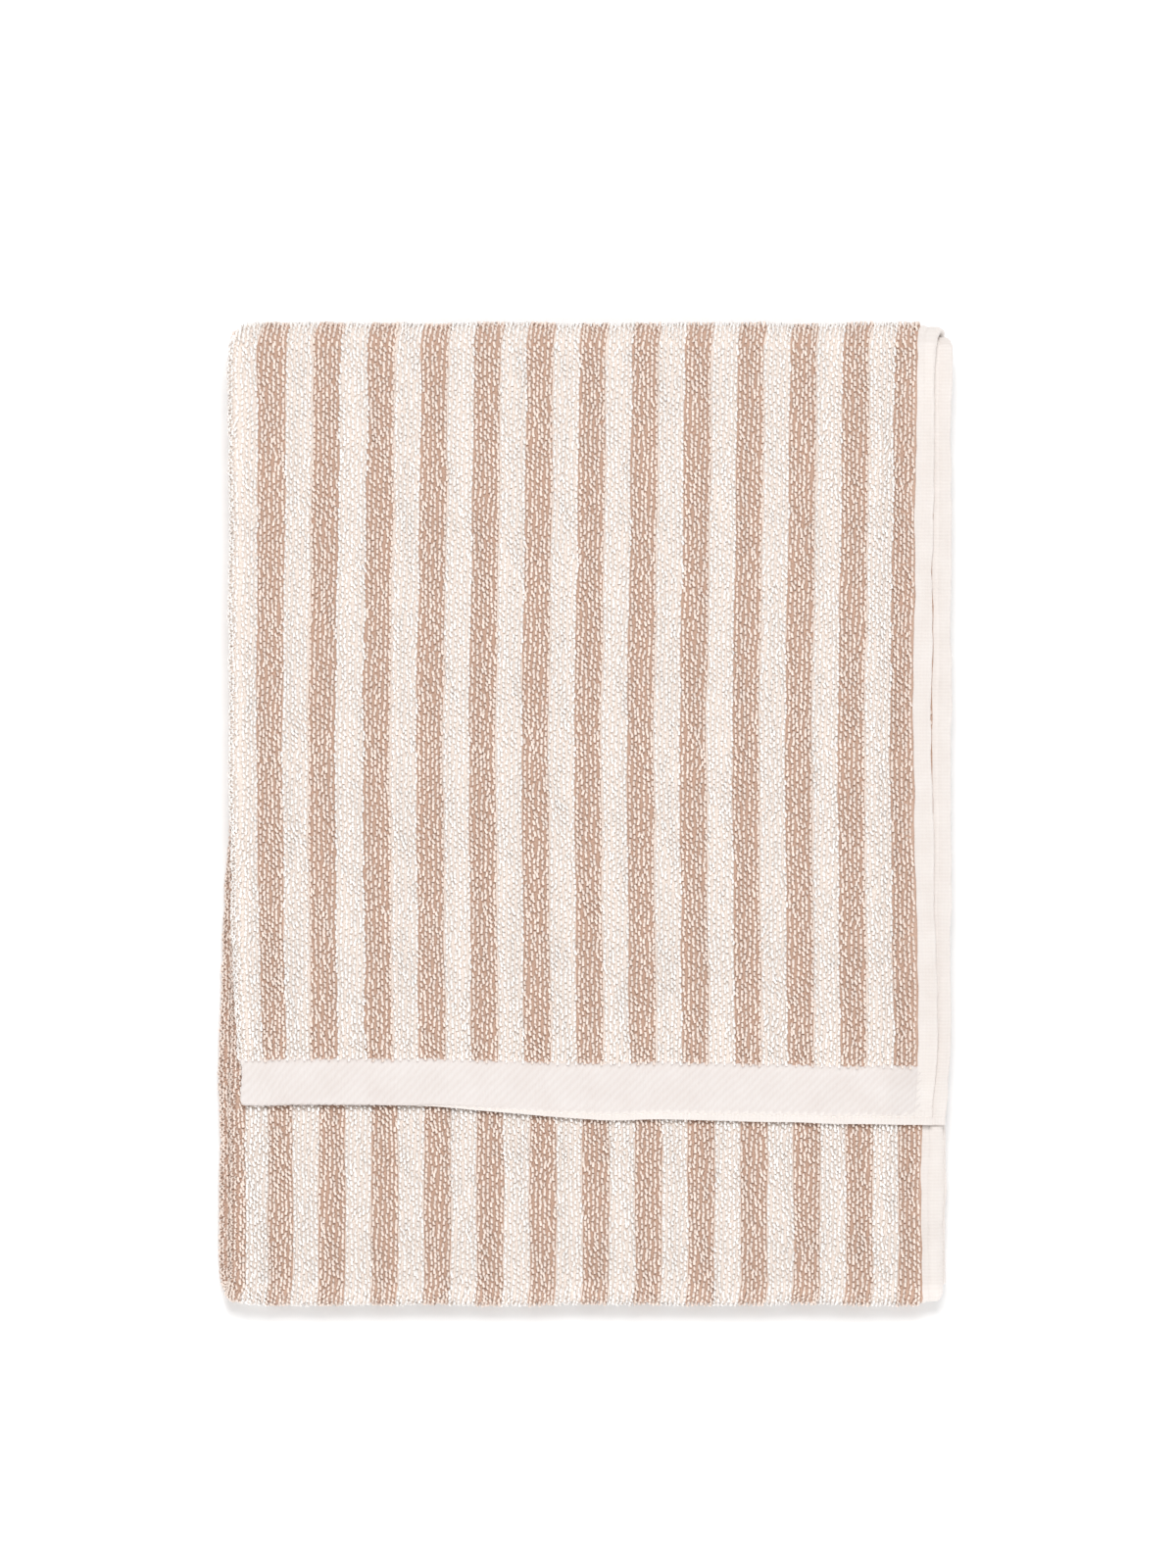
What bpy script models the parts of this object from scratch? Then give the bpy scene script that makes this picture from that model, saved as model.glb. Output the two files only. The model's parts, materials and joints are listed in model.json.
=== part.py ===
"""A striped terry towel, folded for the shelf.

The towel is one woven cloth. It is folded in half along its length, with that fold on the left and the
two long hems on the right, and then in three across its length like a fan: the base lies on the
surface, the middle lies on the base, and the flap lies on the middle with its free end towards the
front. Each of the three layers is therefore two sheets of cloth with a rounded fold at the left.

X runs across the stripes towards the hems, Y runs along the stripes from the bottom fold to the top
fold, and Z is up. The origin is the centre of the pack, on the surface that it lies on. All sizes are
in metres.
"""
import math

import bmesh
import bpy

# The cloth, laid out flat
FLAT_WIDTH = 0.500  # across the stripes, from hem to hem
FLAT_LENGTH = 0.950  # along the stripes, from end to end
SHEET_THICKNESS = 0.0037  # terry with the pile of both faces, as pressed in the pack
SIDE_HEM_WIDTH = 0.0058
BORDER_LENGTH = 0.0178  # flat woven band at each end
BORDER_THICKNESS = 0.0018
END_HEM_LENGTH = 0.0048
HEM_THICKNESS = 0.0022  # the flat weave, turned on itself
THREAD_WIDTH = 0.0006
THREAD_THICKNESS = 0.0003
SEAM_INSET = 0.0009  # from the end hem's inner edge to the middle of its seam

# The pack
FOLDED_LENGTH = 0.345  # outside of the bottom fold to outside of the top fold
FLAP_LENGTH = 0.2813  # outside of the top fold to the free end of the flap
HEM_STEP = 0.0062  # how far one long hem sticks out past the other
MIDDLE_SHIFT = 0.0041  # how far the middle lies to the right of the base
FLAP_SHIFT = 0.0047  # how far the flap lies to the right of the base
GAP = 0.0003  # between neighbours

# What follows from them
SHEET_PITCH = SHEET_THICKNESS + GAP
LAYER_PITCH = 2 * SHEET_PITCH
SIDE_RADIUS = SHEET_PITCH / 2  # of the cloth's middle, in the fold on the left
INNER_RADIUS = SHEET_PITCH / 2  # of the inner sheet's middle, in a fold across the length
OUTER_RADIUS = INNER_RADIUS + SHEET_PITCH
FOLD_REACH = OUTER_RADIUS + SHEET_THICKNESS / 2
FOLD_Y = FOLDED_LENGTH / 2 - FOLD_REACH  # the folds turn about lines at -FOLD_Y and +FOLD_Y
PANEL_END_Y = FOLD_Y - GAP
BOTTOM_FOLD_Z = LAYER_PITCH - GAP / 2
TOP_FOLD_Z = 2 * LAYER_PITCH - GAP / 2
FLAP_END_Y = FOLDED_LENGTH / 2 - FLAP_LENGTH
FOLD_CLOTH = math.pi * (INNER_RADIUS + OUTER_RADIUS)  # what a sheet spends in its two folds
BASE_LENGTH = FLAT_LENGTH - (FOLD_Y - FLAP_END_Y) - 2 * FOLD_Y - FOLD_CLOTH
BASE_END_Y = BASE_LENGTH - FOLD_Y
NARROW_RUN = (FLAT_WIDTH - math.pi * SIDE_RADIUS - HEM_STEP) / 2
WIDE_RUN = NARROW_RUN + HEM_STEP
SIDE_REACH = SIDE_RADIUS + SHEET_THICKNESS / 2
PACK_WIDTH = FLAP_SHIFT + SIDE_REACH + WIDE_RUN

ARC_STEPS = 12

# Layers, from the surface up
BASE, MIDDLE, FLAP = range(3)
LAYER_NAME = {BASE: "base", MIDDLE: "middle", FLAP: "flap"}
LAYER_SHIFT = {BASE: 0.0, MIDDLE: MIDDLE_SHIFT, FLAP: FLAP_SHIFT}
# The sheet whose long hem sticks out is the lower one in the base. Each fold turns the cloth over.
WIDE_IS_LOWER = {BASE: True, MIDDLE: False, FLAP: True}

ECRU = (0.87, 0.80, 0.74, 1.0)
TAN = (0.68, 0.52, 0.42, 1.0)
FLAT_WEAVE = (0.91, 0.85, 0.81, 1.0)
THREAD = (0.93, 0.88, 0.84, 1.0)


def clear_scene():
    for obj in list(bpy.data.objects):
        bpy.data.objects.remove(obj, do_unlink=True)


def cloth_material(name, colour, roughness):
    material = bpy.data.materials.new(name)
    material.use_nodes = True
    shader = material.node_tree.nodes["Principled BSDF"]
    shader.inputs["Base Color"].default_value = colour
    shader.inputs["Roughness"].default_value = roughness
    shader.inputs["Metallic"].default_value = 0.0
    return material


def ruled_sheet(name, rows, thickness, material, pivot):
    """A sheet through rows, each a straight line from one point to another, with its middle in the rows."""
    mesh = bpy.data.meshes.new(name)
    work = bmesh.new()
    pairs = [[work.verts.new((x, y - pivot.y, z - pivot.z)) for x, y, z in row] for row in rows]
    for (a, b), (c, d) in zip(pairs, pairs[1:]):
        work.faces.new((a, b, d, c))
    work.to_mesh(mesh)
    work.free()
    mesh.materials.append(material)
    obj = bpy.data.objects.new(name, mesh)
    towel.objects.link(obj)
    obj.parent = pivot.empty
    wall = obj.modifiers.new("Thickness", "SOLIDIFY")
    wall.thickness = thickness
    wall.offset = 0.0
    wall.use_even_offset = True
    mesh.shade_smooth()
    mesh.set_sharp_from_angle(angle=math.radians(40))
    return obj


class Pivot:
    """The line that a layer turns about, with the empty that its pieces hang from."""

    def __init__(self, name, y, z):
        self.y, self.z = y, z
        self.empty = bpy.data.objects.new(name, None)
        self.empty.location = (0.0, y, z)
        towel.objects.link(self.empty)


def left_of(layer):
    """Outside of the layer's fold on the left."""
    return LAYER_SHIFT[layer] - PACK_WIDTH / 2


def hem_edge(layer, upper):
    """Outer edge of the long hem of the layer's upper or lower sheet."""
    wide = WIDE_IS_LOWER[layer] != upper
    return left_of(layer) + SIDE_REACH + (WIDE_RUN if wide else NARROW_RUN)


def sheet_z(layer, upper):
    """Height of the middle of the sheet."""
    return layer * LAYER_PITCH + SHEET_THICKNESS / 2 + (SHEET_PITCH if upper else 0.0)


def side_fold_path(layer, inset, lift):
    """Points in X and Z from the hem of the lower sheet, round the fold on the left, to the hem of the
    upper sheet. They stop short of the hems' outer edges by inset, and lie outside the cloth's middle
    by lift."""
    centre_x = left_of(layer) + SIDE_REACH
    centre_z = layer * LAYER_PITCH + SIDE_REACH
    radius = SIDE_RADIUS + lift
    path = [(hem_edge(layer, False) - inset, centre_z - radius)]
    for step in range(ARC_STEPS + 1):
        angle = math.pi * step / ARC_STEPS
        path.append((centre_x - radius * math.sin(angle), centre_z - radius * math.cos(angle)))
    path.append((hem_edge(layer, True) - inset, centre_z + radius))
    return path


def folded_band(name, layer, y_low, y_high, inset, lift, thickness, material):
    """A stretch of one layer: its two sheets and the fold that joins them."""
    path = side_fold_path(layer, inset, lift)
    rows = [((x, y_low, z), (x, y_high, z)) for x, z in path]
    return ruled_sheet(name, rows, thickness, material, PIVOT_OF[layer])


def side_hem(layer, upper, y_low, y_high):
    edge, z = hem_edge(layer, upper), sheet_z(layer, upper)
    rows = [((x, y_low, z), (x, y_high, z)) for x in (edge - SIDE_HEM_WIDTH, edge)]
    name = f"{LAYER_NAME[layer]}_{'upper' if upper else 'lower'}_side_hem"
    return ruled_sheet(name, rows, HEM_THICKNESS, weave, PIVOT_OF[layer])


def free_end(layer, outwards, end_y):
    """Border, end hem and hem stitching at the free end of the base or the flap. outwards is the way
    that the end points along Y."""
    name = LAYER_NAME[layer]
    hem_y = end_y - outwards * END_HEM_LENGTH
    border_y = hem_y - outwards * GAP
    low, high = sorted((border_y, border_y - outwards * BORDER_LENGTH))
    folded_band(f"{name}_border", layer, low, high, SIDE_HEM_WIDTH + GAP, 0.0, BORDER_THICKNESS, weave)
    low, high = sorted((hem_y, end_y))
    folded_band(f"{name}_end_hem", layer, low, high, 0.0, 0.0, HEM_THICKNESS, weave)
    seam_y = hem_y + outwards * SEAM_INSET
    lift = HEM_THICKNESS / 2 + GAP + THREAD_THICKNESS / 2
    low, high = seam_y - THREAD_WIDTH / 2, seam_y + THREAD_WIDTH / 2
    folded_band(f"{name}_end_stitching", layer, low, high, GAP, lift, THREAD_THICKNESS, thread)
    return border_y - outwards * (BORDER_LENGTH + GAP), hem_y - outwards * GAP


def layer_pieces(layer, low_y, high_y):
    """Cloth and long hems of one layer. A free end's border and hem take their length off the cloth."""
    cloth_low, hem_low, cloth_high, hem_high = low_y, low_y, high_y, high_y
    if layer == BASE:
        cloth_high, hem_high = free_end(layer, 1, high_y)
    if layer == FLAP:
        cloth_low, hem_low = free_end(layer, -1, low_y)
    name = f"{LAYER_NAME[layer]}_cloth"
    inset = SIDE_HEM_WIDTH + GAP
    folded_band(name, layer, cloth_low, cloth_high, inset, 0.0, SHEET_THICKNESS, terry)
    for upper in (False, True):
        side_hem(layer, upper, hem_low, hem_high)


def cross_fold(name, below, outwards, axis_z, outer):
    """One sheet's turn from the layer below to the layer above, and its long hem's."""
    above = below + 1
    radius = OUTER_RADIUS if outer else INNER_RADIUS
    # The outer sheet leaves the lower sheet of the layer below and reaches the upper one above.
    upper_below, upper_above = not outer, outer
    right_below = hem_edge(below, upper_below)
    right_above = hem_edge(above, upper_above)
    cloth_rows, hem_rows = [], []
    for step in range(ARC_STEPS + 1):
        share = step / ARC_STEPS
        angle = math.pi * share
        y = outwards * (FOLD_Y + radius * math.sin(angle))
        z = axis_z - radius * math.cos(angle)
        left = left_of(below) + share * (left_of(above) - left_of(below))
        right = right_below + share * (right_above - right_below)
        cloth_end = right - SIDE_HEM_WIDTH - GAP
        cloth_rows.append(((left, y, z), (cloth_end, y, z)))
        hem_rows.append(((right - SIDE_HEM_WIDTH, y, z), (right, y, z)))
    kind = "outer" if outer else "inner"
    ruled_sheet(f"{name}_{kind}", cloth_rows, SHEET_THICKNESS, terry, PIVOT_OF[above])
    ruled_sheet(f"{name}_{kind}_side_hem", hem_rows, HEM_THICKNESS, weave, PIVOT_OF[above])


clear_scene()
towel = bpy.data.collections.new("Folded_towel")
bpy.context.scene.collection.children.link(towel)

terry = cloth_material("Striped terry", tuple((a + b) / 2 for a, b in zip(ECRU, TAN)), 0.95)
weave = cloth_material("Flat weave", FLAT_WEAVE, 0.85)
thread = cloth_material("Sewing thread", THREAD, 0.6)

PIVOT_OF = {
    BASE: Pivot("base_pivot", 0.0, 0.0),
    MIDDLE: Pivot("bottom_fold_pivot", -FOLD_Y, BOTTOM_FOLD_Z),
    FLAP: Pivot("top_fold_pivot", FOLD_Y, TOP_FOLD_Z),
}

layer_pieces(BASE, -PANEL_END_Y, BASE_END_Y)
layer_pieces(MIDDLE, -PANEL_END_Y, PANEL_END_Y)
layer_pieces(FLAP, FLAP_END_Y, PANEL_END_Y)
for is_outer in (True, False):
    cross_fold("bottom_fold", BASE, -1, BOTTOM_FOLD_Z, is_outer)
    cross_fold("top_fold", MIDDLE, 1, TOP_FOLD_Z, is_outer)
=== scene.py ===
# %% [markdown]
# # A striped terry towel, folded for the shelf
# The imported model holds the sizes, the layers and the two fold lines of a folded towel. This script
# dresses it: the same cloth, with its pile loops, woven borders, hems and stitches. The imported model
# is loaded first, so that every later size can be read from it instead of being typed again.

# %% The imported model
import json
import math
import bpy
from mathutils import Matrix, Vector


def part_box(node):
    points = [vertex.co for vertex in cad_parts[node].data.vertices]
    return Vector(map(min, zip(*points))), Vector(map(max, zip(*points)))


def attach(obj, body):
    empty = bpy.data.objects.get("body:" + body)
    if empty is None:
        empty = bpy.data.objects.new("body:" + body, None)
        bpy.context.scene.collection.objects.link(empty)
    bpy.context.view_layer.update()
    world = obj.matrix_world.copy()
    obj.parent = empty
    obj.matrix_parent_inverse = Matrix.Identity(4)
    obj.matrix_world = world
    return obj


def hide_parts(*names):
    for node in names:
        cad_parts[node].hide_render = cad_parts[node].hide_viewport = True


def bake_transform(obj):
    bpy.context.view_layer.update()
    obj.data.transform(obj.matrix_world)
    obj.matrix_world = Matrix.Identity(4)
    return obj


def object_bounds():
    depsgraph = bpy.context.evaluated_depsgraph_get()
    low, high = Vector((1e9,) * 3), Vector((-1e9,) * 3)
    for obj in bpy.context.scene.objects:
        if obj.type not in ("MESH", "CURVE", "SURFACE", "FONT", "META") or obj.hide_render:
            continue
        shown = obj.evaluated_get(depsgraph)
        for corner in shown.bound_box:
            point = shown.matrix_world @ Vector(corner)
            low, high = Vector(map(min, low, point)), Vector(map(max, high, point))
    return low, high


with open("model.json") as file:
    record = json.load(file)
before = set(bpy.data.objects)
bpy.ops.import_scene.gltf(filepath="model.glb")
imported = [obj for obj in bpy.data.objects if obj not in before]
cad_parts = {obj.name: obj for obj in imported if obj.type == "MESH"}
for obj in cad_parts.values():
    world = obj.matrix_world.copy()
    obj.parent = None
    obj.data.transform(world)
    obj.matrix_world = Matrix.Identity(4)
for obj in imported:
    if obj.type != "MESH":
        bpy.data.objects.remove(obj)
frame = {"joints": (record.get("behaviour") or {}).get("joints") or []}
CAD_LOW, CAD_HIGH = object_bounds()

from types import SimpleNamespace

import bpy
import numpy as np

print("box, mm", [round(1000 * size, 1) for size in CAD_HIGH - CAD_LOW])

# %% [markdown]
# # Where the camera stands
# The towel is seen straight from above, as folded linen is shown in a shop. A long lens from three
# metres keeps the edges of the pile upright, so hardly any of its sides shows. The towel sits a
# little below the middle of the frame, which is four high and three wide. The lens is worked out from
# the stretch of floor that the frame's long side takes in.

# %% Camera
FRAME_LONG_SIDE = 0.5491  # of the plane through the top of the towel
CAMERA_DISTANCE = 3.0  # from that plane
AIM = (0.0007, 0.0108)  # what lies at the middle of the frame

lens_data = bpy.data.cameras.new("Camera_from_above")
lens_data.sensor_width = 36.0
lens_data.lens = lens_data.sensor_width * CAMERA_DISTANCE / FRAME_LONG_SIDE
lens_data.clip_start, lens_data.clip_end = 0.1, 20.0
camera = bpy.data.objects.new("Camera_from_above", lens_data)
camera.location = (*AIM, CAD_HIGH.z + CAMERA_DISTANCE)
scene = bpy.context.scene
scene.collection.objects.link(camera)
scene.camera = camera
print("lens, mm", round(lens_data.lens, 1))

# %% [markdown]
# # One cloth, three layers
# The towel is one cloth of 50 by 95 cm. It is folded in half along its length, with that fold on the
# left, and then in three like a fan. So a layer is a path in X and Z: from the hem of its lower sheet
# leftwards, round a small arc, and back to the hem of its upper sheet. Each place on the cloth has a
# number `c`, its distance from the cloth's centre line, from -25 cm at one long hem to +25 cm at the
# other. The stripes run at fixed values of `c`, so they stay whole from layer to layer. Placing
# everything by `c` is what makes loops, stripes and hems agree with one another in every fold.

# %% The layers' sizes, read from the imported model
FLAT_WIDTH = 0.500
HALF_WIDTH = FLAT_WIDTH / 2
SHEET = 0.0037  # one thickness of terry, with the pile of both faces
SIDE_HEM = 0.0058
TERRY_HALF = HALF_WIDTH - SIDE_HEM
# How far each layer's cloth has slipped round its fold, from the upper sheet to the lower
BASE_SLIDE, MIDDLE_SLIDE, FLAP_SLIDE = -0.0020, 0.0034, -0.0005


def layer_of(name, reversed_cloth, slide=0.0):
    low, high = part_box(f"{name}_cloth")
    reach = (high.z - low.z) / 2
    layer = SimpleNamespace(name=name, reversed=reversed_cloth, y_low=low.y, y_high=high.y)
    layer.centre_x, layer.centre_z = low.x + reach, low.z + reach
    layer.radius = reach - SHEET / 2
    layer.lower_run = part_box(f"{name}_lower_side_hem")[1].x - layer.centre_x + slide
    layer.upper_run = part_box(f"{name}_upper_side_hem")[1].x - layer.centre_x - slide
    return layer


BASE = layer_of("base", False, BASE_SLIDE)
MIDDLE = layer_of("middle", True, MIDDLE_SLIDE)
FLAP = layer_of("flap", False, FLAP_SLIDE)
for layer in (BASE, MIDDLE, FLAP):
    run = layer.lower_run + math.pi * layer.radius + layer.upper_run
    print(layer.name, "path, mm", round(1000 * run, 2), "height, mm", round(1000 * layer.centre_z, 2))

# %% Places on a layer


def path_of(layer, c):
    """Distance along the layer's path, from the hem of its lower sheet."""
    return HALF_WIDTH - c if layer.reversed else HALF_WIDTH + c


def path_to_c(layer, path):
    return HALF_WIDTH - path if layer.reversed else path - HALF_WIDTH


def panel(layer, c, y, lift=0.0):
    """Points at c and y, lift away from the cloth's middle, and the way that faces out there."""
    c, y = np.broadcast_arrays(np.asarray(c, float), np.asarray(y, float))
    along = path_of(layer, c) - layer.lower_run
    angle = np.clip(along / layer.radius, 0.0, math.pi)
    beyond = np.where(along < 0, -along, np.maximum(along - math.pi * layer.radius, 0.0))
    out = np.stack([-np.sin(angle), np.zeros_like(angle), -np.cos(angle)], -1)
    radius = layer.radius + lift
    x = layer.centre_x + radius * out[..., 0] + beyond
    z = layer.centre_z + radius * out[..., 2]
    return np.stack([x, y, z], -1), out


# %% [markdown]
# Where a layer turns over into the next one, each point of the lower layer goes round the joint's
# line in a half circle. Near the fold on the left the circles get smaller, and that is what closes the
# rounded corner there, as it does on the real towel.

# %% Places on a fold between two layers
JOINT = {joint["name"]: joint for joint in frame["joints"]}


def fold_of(joint, below, above, outwards):
    _, y, z = JOINT[joint]["pos_m"]
    return SimpleNamespace(name=joint, below=below, above=above, y=y, z=z, outwards=outwards)


BOTTOM = fold_of("bottom_fold", BASE, MIDDLE, -1)
TOP = fold_of("top_fold", MIDDLE, FLAP, 1)


def around(fold, c, share, lift=0.0):
    """Points at c on the fold, from share 0 at the layer below to share 1 at the layer above."""
    c, share = np.broadcast_arrays(np.asarray(c, float), np.asarray(share, float))
    start, out = panel(fold.below, c, fold.y, lift)
    end, _ = panel(fold.above, c, fold.y, lift)
    turn = math.pi * share
    radius = (1 - share) * (fold.z - start[..., 2]) + share * (end[..., 2] - fold.z)
    x = (1 - share) * start[..., 0] + share * end[..., 0]
    y = fold.y + fold.outwards * radius * np.sin(turn)
    z = fold.z - radius * np.cos(turn)
    faces = np.stack([out[..., 0], -fold.outwards * out[..., 2] * np.sin(turn),
                      out[..., 2] * np.cos(turn)], -1)
    return np.stack([x, y, z], -1), faces


print("bottom fold turns at Y, Z mm", round(1000 * BOTTOM.y, 2), round(1000 * BOTTOM.z, 2))
print("top fold turns at Y, Z mm", round(1000 * TOP.y, 2), round(1000 * TOP.z, 2))

# %% [markdown]
# # How the cloth has settled
# Panels and half circles alone would look like sheet metal. A folded towel's edges wander, its layers
# slide a little over one another, its corners round off and its free end sinks onto what it lies on.
# All of that is one function from place to place. Each piece goes through it, so neighbours still
# meet after it. A cloth simulation would give the same slumps, but it would also tear the hems from
# the loops, because each of them is a separate mesh.

# %% A step that eases in and out


def ease(value, start, end):
    share = np.clip((value - start) / (end - start), 0.0, 1.0)
    return share * share * (3.0 - 2.0 * share)


def wander(along, seed, length):
    """A smooth random line from -1 to 1, with bends about length apart."""
    random = np.random.default_rng(seed)
    total = sum(np.sin(2 * math.pi * (along / (length * ratio) + random.random())) / number
                for number, ratio in enumerate((1.0, 0.61, 0.37, 0.23), 1))
    return total / 2.08  # the four heights together


# %% Settling
TOWEL_TOP = CAD_HIGH.z
FLAP_Z = TOWEL_TOP * 2 / 3  # underside of the flap
HALF_LENGTH = CAD_HIGH.y
TOP_Y = TOP.y  # where the layers' flat part ends
TERRY_END_Y = FLAP.y_low
FLAP_END_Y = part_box("flap_end_hem")[0].y
FALLS_BY = 0.80  # share of the way down that the free end sinks
HEMS_ARE_THINNER = 0.30  # share of their height that six hems lose against six sheets of terry
END_SLOPE = 0.0026  # how far the flap's terry ends lower on the right than on the left
SINK_Z = 0.0168  # height that the flap's free end sinks towards


def along_y(y, *stops):
    """A value that follows stops of (Y, value) in millimetres, with soft corners."""
    places, values = zip(*stops)
    near = [np.interp(1000 * y + shift, places, values) for shift in (-8, -4, 0, 4, 8)]
    return 0.001 * sum(near) / len(near)


def sideways(x, y, in_base, in_middle, in_flap, in_upper_sheet):
    """How far a point has moved along X. The folds on the left and the hems on the right wander on
    their own, and the stripes between them follow the flap's gentle bow."""
    at_left, at_right = 1 - ease(x, -0.124, -0.098), ease(x, 0.098, 0.122)
    bow = along_y(y, (-109, -0.8), (-84, -1.0), (28, -2.0), (110, -0.6), (172, 0.0))
    left = along_y(y, (-109, 3.2), (-92, 2.8), (-80, 2.2), (-40, 0.5), (28, -0.6), (140, -0.6),
                   (160, -1.6), (172, 0.2))
    upper_hem = along_y(y, (-109, -2.4), (-98, -1.2), (-80, 0.1), (28, -2.4), (172, -0.8))
    lower_hem = along_y(y, (-109, -2.6), (-98, -2.2), (-80, -0.6), (172, -0.3))
    hem = in_upper_sheet * upper_hem + (1 - in_upper_sheet) * lower_hem
    flap = bow * (1 - at_left) * (1 - at_right) + left * at_left + hem * at_right
    base = at_left * along_y(y, (-172, 1.4), (-160, 0.5), (-145, 0.0), (-120, 0.3), (-75, 0.2),
                             (-40, 1.6), (0, 3.8), (45, 6.2), (172, 6.8))
    middle = at_left * along_y(y, (-100, 0.0), (40, 1.8), (172, 2.8))
    middle += np.interp(x, (-0.124, -0.108, 0.108, 0.1285), (0, -0.0014, -0.0004, 0.0009))
    waver = 0.00042 * wander(y + 3.1 * x, 31, 0.060) + 0.00022 * wander(y - 5.3 * x, 32, 0.017)
    return flap * in_flap + base * in_base + middle * in_middle + waver


def settle(points):
    x, y, z = (points[..., axis].copy() for axis in range(3))
    # The layers meet at a third and two thirds of the height, and each eases into the next there.
    in_flap = ease(z, FLAP_Z - 0.0035, FLAP_Z + 0.0035)
    in_middle = ease(z, 0.0065, 0.0095) * (1 - ease(z, 0.0140, 0.0175))
    in_base = 1 - ease(z, 0.0060, 0.0090)
    in_upper_sheet = ease(z, 0.0190, 0.0212)
    moved_x = sideways(x, y, in_base, in_middle, in_flap, in_upper_sheet)

    to_end = np.clip((y - FLAP_END_Y) / (TERRY_END_Y - FLAP_END_Y), 0, 1)
    fades = 1 - ease(y, TERRY_END_Y + 0.010, TERRY_END_Y + 0.120)
    moved_y = -END_SLOPE * ease(x, -0.120, 0.125) * to_end * fades * in_flap
    moved_y += 0.0006 * wander(x, 5, 0.110) * fades * in_flap
    at_fold = ease(np.abs(y), TOP_Y, HALF_LENGTH)
    moved_y += np.sign(y) * at_fold * (0.0005 * wander(x, 7, 0.070) + 0.0002 * wander(x, 8, 0.009))
    moved_y -= np.sign(y) * ease(np.abs(x), 0.113, 0.128) * at_fold * 0.0011

    share_up = np.clip(z / TOWEL_TOP, 0, 1)
    swell = wander(x + 0.35 * y, 3, 0.21) * wander(y - 0.2 * x, 4, 0.26)
    moved_z = share_up * (0.0007 * swell - 0.0005 * (1 - ease(x, -0.125, -0.100)))
    held_up = 0.85 * ease(np.abs(y), TOP_Y - 0.030, TOP_Y)  # by the roundness of the folds
    over_hems = ease(x, 0.106, 0.121)
    moved_z -= HEMS_ARE_THINNER * z * over_hems * (1 - held_up)
    sinking = 1 - ease(y, FLAP_END_Y - 0.001, FLAP_END_Y + 0.040)
    moved_z -= np.maximum(z - SINK_Z, 0) * FALLS_BY * sinking * in_flap * (1 - 0.5 * over_hems)
    return np.stack([x + moved_x, y + moved_y, z + moved_z], -1)


probe = settle(np.array([[-0.124, -0.05, 0.020], [0.0, FLAP_END_Y, 0.0218], [0.12, 0.1, 0.0218]]))
print("settled probes, mm", np.round(1000 * probe, 1).tolist())

# %% [markdown]
# The narrow end hem was pressed when the towel was folded. On the left it has turned under the border,
# and towards the right it comes out again and ends flat. So the last stretch of the flap is wound
# round a thin roll: half a turn on the left, none at the right.

# %% The end hem, turned under on the left
TURN_LINE_Y = FLAP_END_Y + 0.0089  # where the cloth starts to turn under
TURN_RADIUS = 0.0009
TURN_AT_X = (-0.134, -0.064, 0.007, 0.121)  # from left to right: wound half round, upright,
TURN_SHARE = (-1.0, 0.0, 0.72, 1.0)  # leaning, and flat, as the cosine of the turn
ROOM_ABOVE, ROOM_BELOW = 0.0026, 0.0011  # how far the upper and the lower sheet's hem can go down


def turn_under(middle, out):
    """Winds what lies past the turn line round a thin roll, and turns its outward direction too."""
    x, y, z = (middle[..., axis] for axis in range(3))
    most = np.arccos(np.interp(x, TURN_AT_X, TURN_SHARE))
    past = np.maximum(TURN_LINE_Y - y, 0.0)
    angle = np.minimum(past / TURN_RADIUS, most)
    rest = past - angle * TURN_RADIUS
    new_y = TURN_LINE_Y - TURN_RADIUS * np.sin(angle) - rest * np.cos(angle)
    drop = TURN_RADIUS * (1 - np.cos(angle)) + rest * np.sin(angle)
    room = np.where(z > FLAP_Z + 0.004, ROOM_ABOVE, ROOM_BELOW)
    drop = room * (1 - np.exp(-drop / room))
    turned = np.stack([x, np.where(past > 0, new_y, y), z - drop], -1)
    faces = np.stack([out[..., 0],
                      out[..., 1] * np.cos(angle) - out[..., 2] * np.sin(angle),
                      out[..., 2] * np.cos(angle) + out[..., 1] * np.sin(angle)], -1)
    return turned, faces


def laid_on(layer, c, y, lift):
    """Settled points at c and y, lift away from the cloth's middle, with the flap's end turned under."""
    middle, out = panel(layer, c, y)
    if layer is FLAP:
        middle, out = turn_under(middle, out)
    return settle(middle + out * np.asarray(lift)[..., None]), out


# %% [markdown]
# # Stripes
# The pile is woven from ecru and tan warp yarns. Twelve loops side by side make one repeat, six of
# each colour, so a stripe is a matter of whole columns of loops. A loop column's colour is therefore
# one number, worked out from `c`, and the ground under the loops reads the same rule.

# %% Stripe rule
LOOP_ACROSS = 0.001538
LOOPS_IN_REPEAT = 12
REPEAT = LOOPS_IN_REPEAT * LOOP_ACROSS
LOOP_ALONG = 0.00189


def is_tan(c):
    """1 where the yarn is tan. A tan stripe lies on the cloth's centre line."""
    to_stripe = np.abs((np.asarray(c) + REPEAT / 2) % REPEAT - REPEAT / 2)
    return (to_stripe < REPEAT / 4).astype(float)


def dyed(layer, c):
    """c as the stripes see it. On the flap they have crept round the fold on the left, a little over
    the next few centimetres and 3 mm at the fold itself, as stripes do when cloth is folded by hand."""
    creep = np.interp(1000 * c, (-40, -12, 4, 14, 70), (0.0, 3.0, 3.0, 1.5, 0.3)) / 1000
    return c + creep * (layer is FLAP)


print("stripe, mm", round(1000 * REPEAT / 2, 2), "repeats", round(FLAT_WIDTH / REPEAT, 1))

# %% [markdown]
# # Small tools
# One function adds a node with its settings and its links, in Geometry Nodes and in materials alike,
# and a few short ones name the nodes that come back again and again. One turns a hex colour into the
# linear numbers that a shader wants, and one puts a mesh in the scene.

# %% Adding a node, a colour, an object


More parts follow.
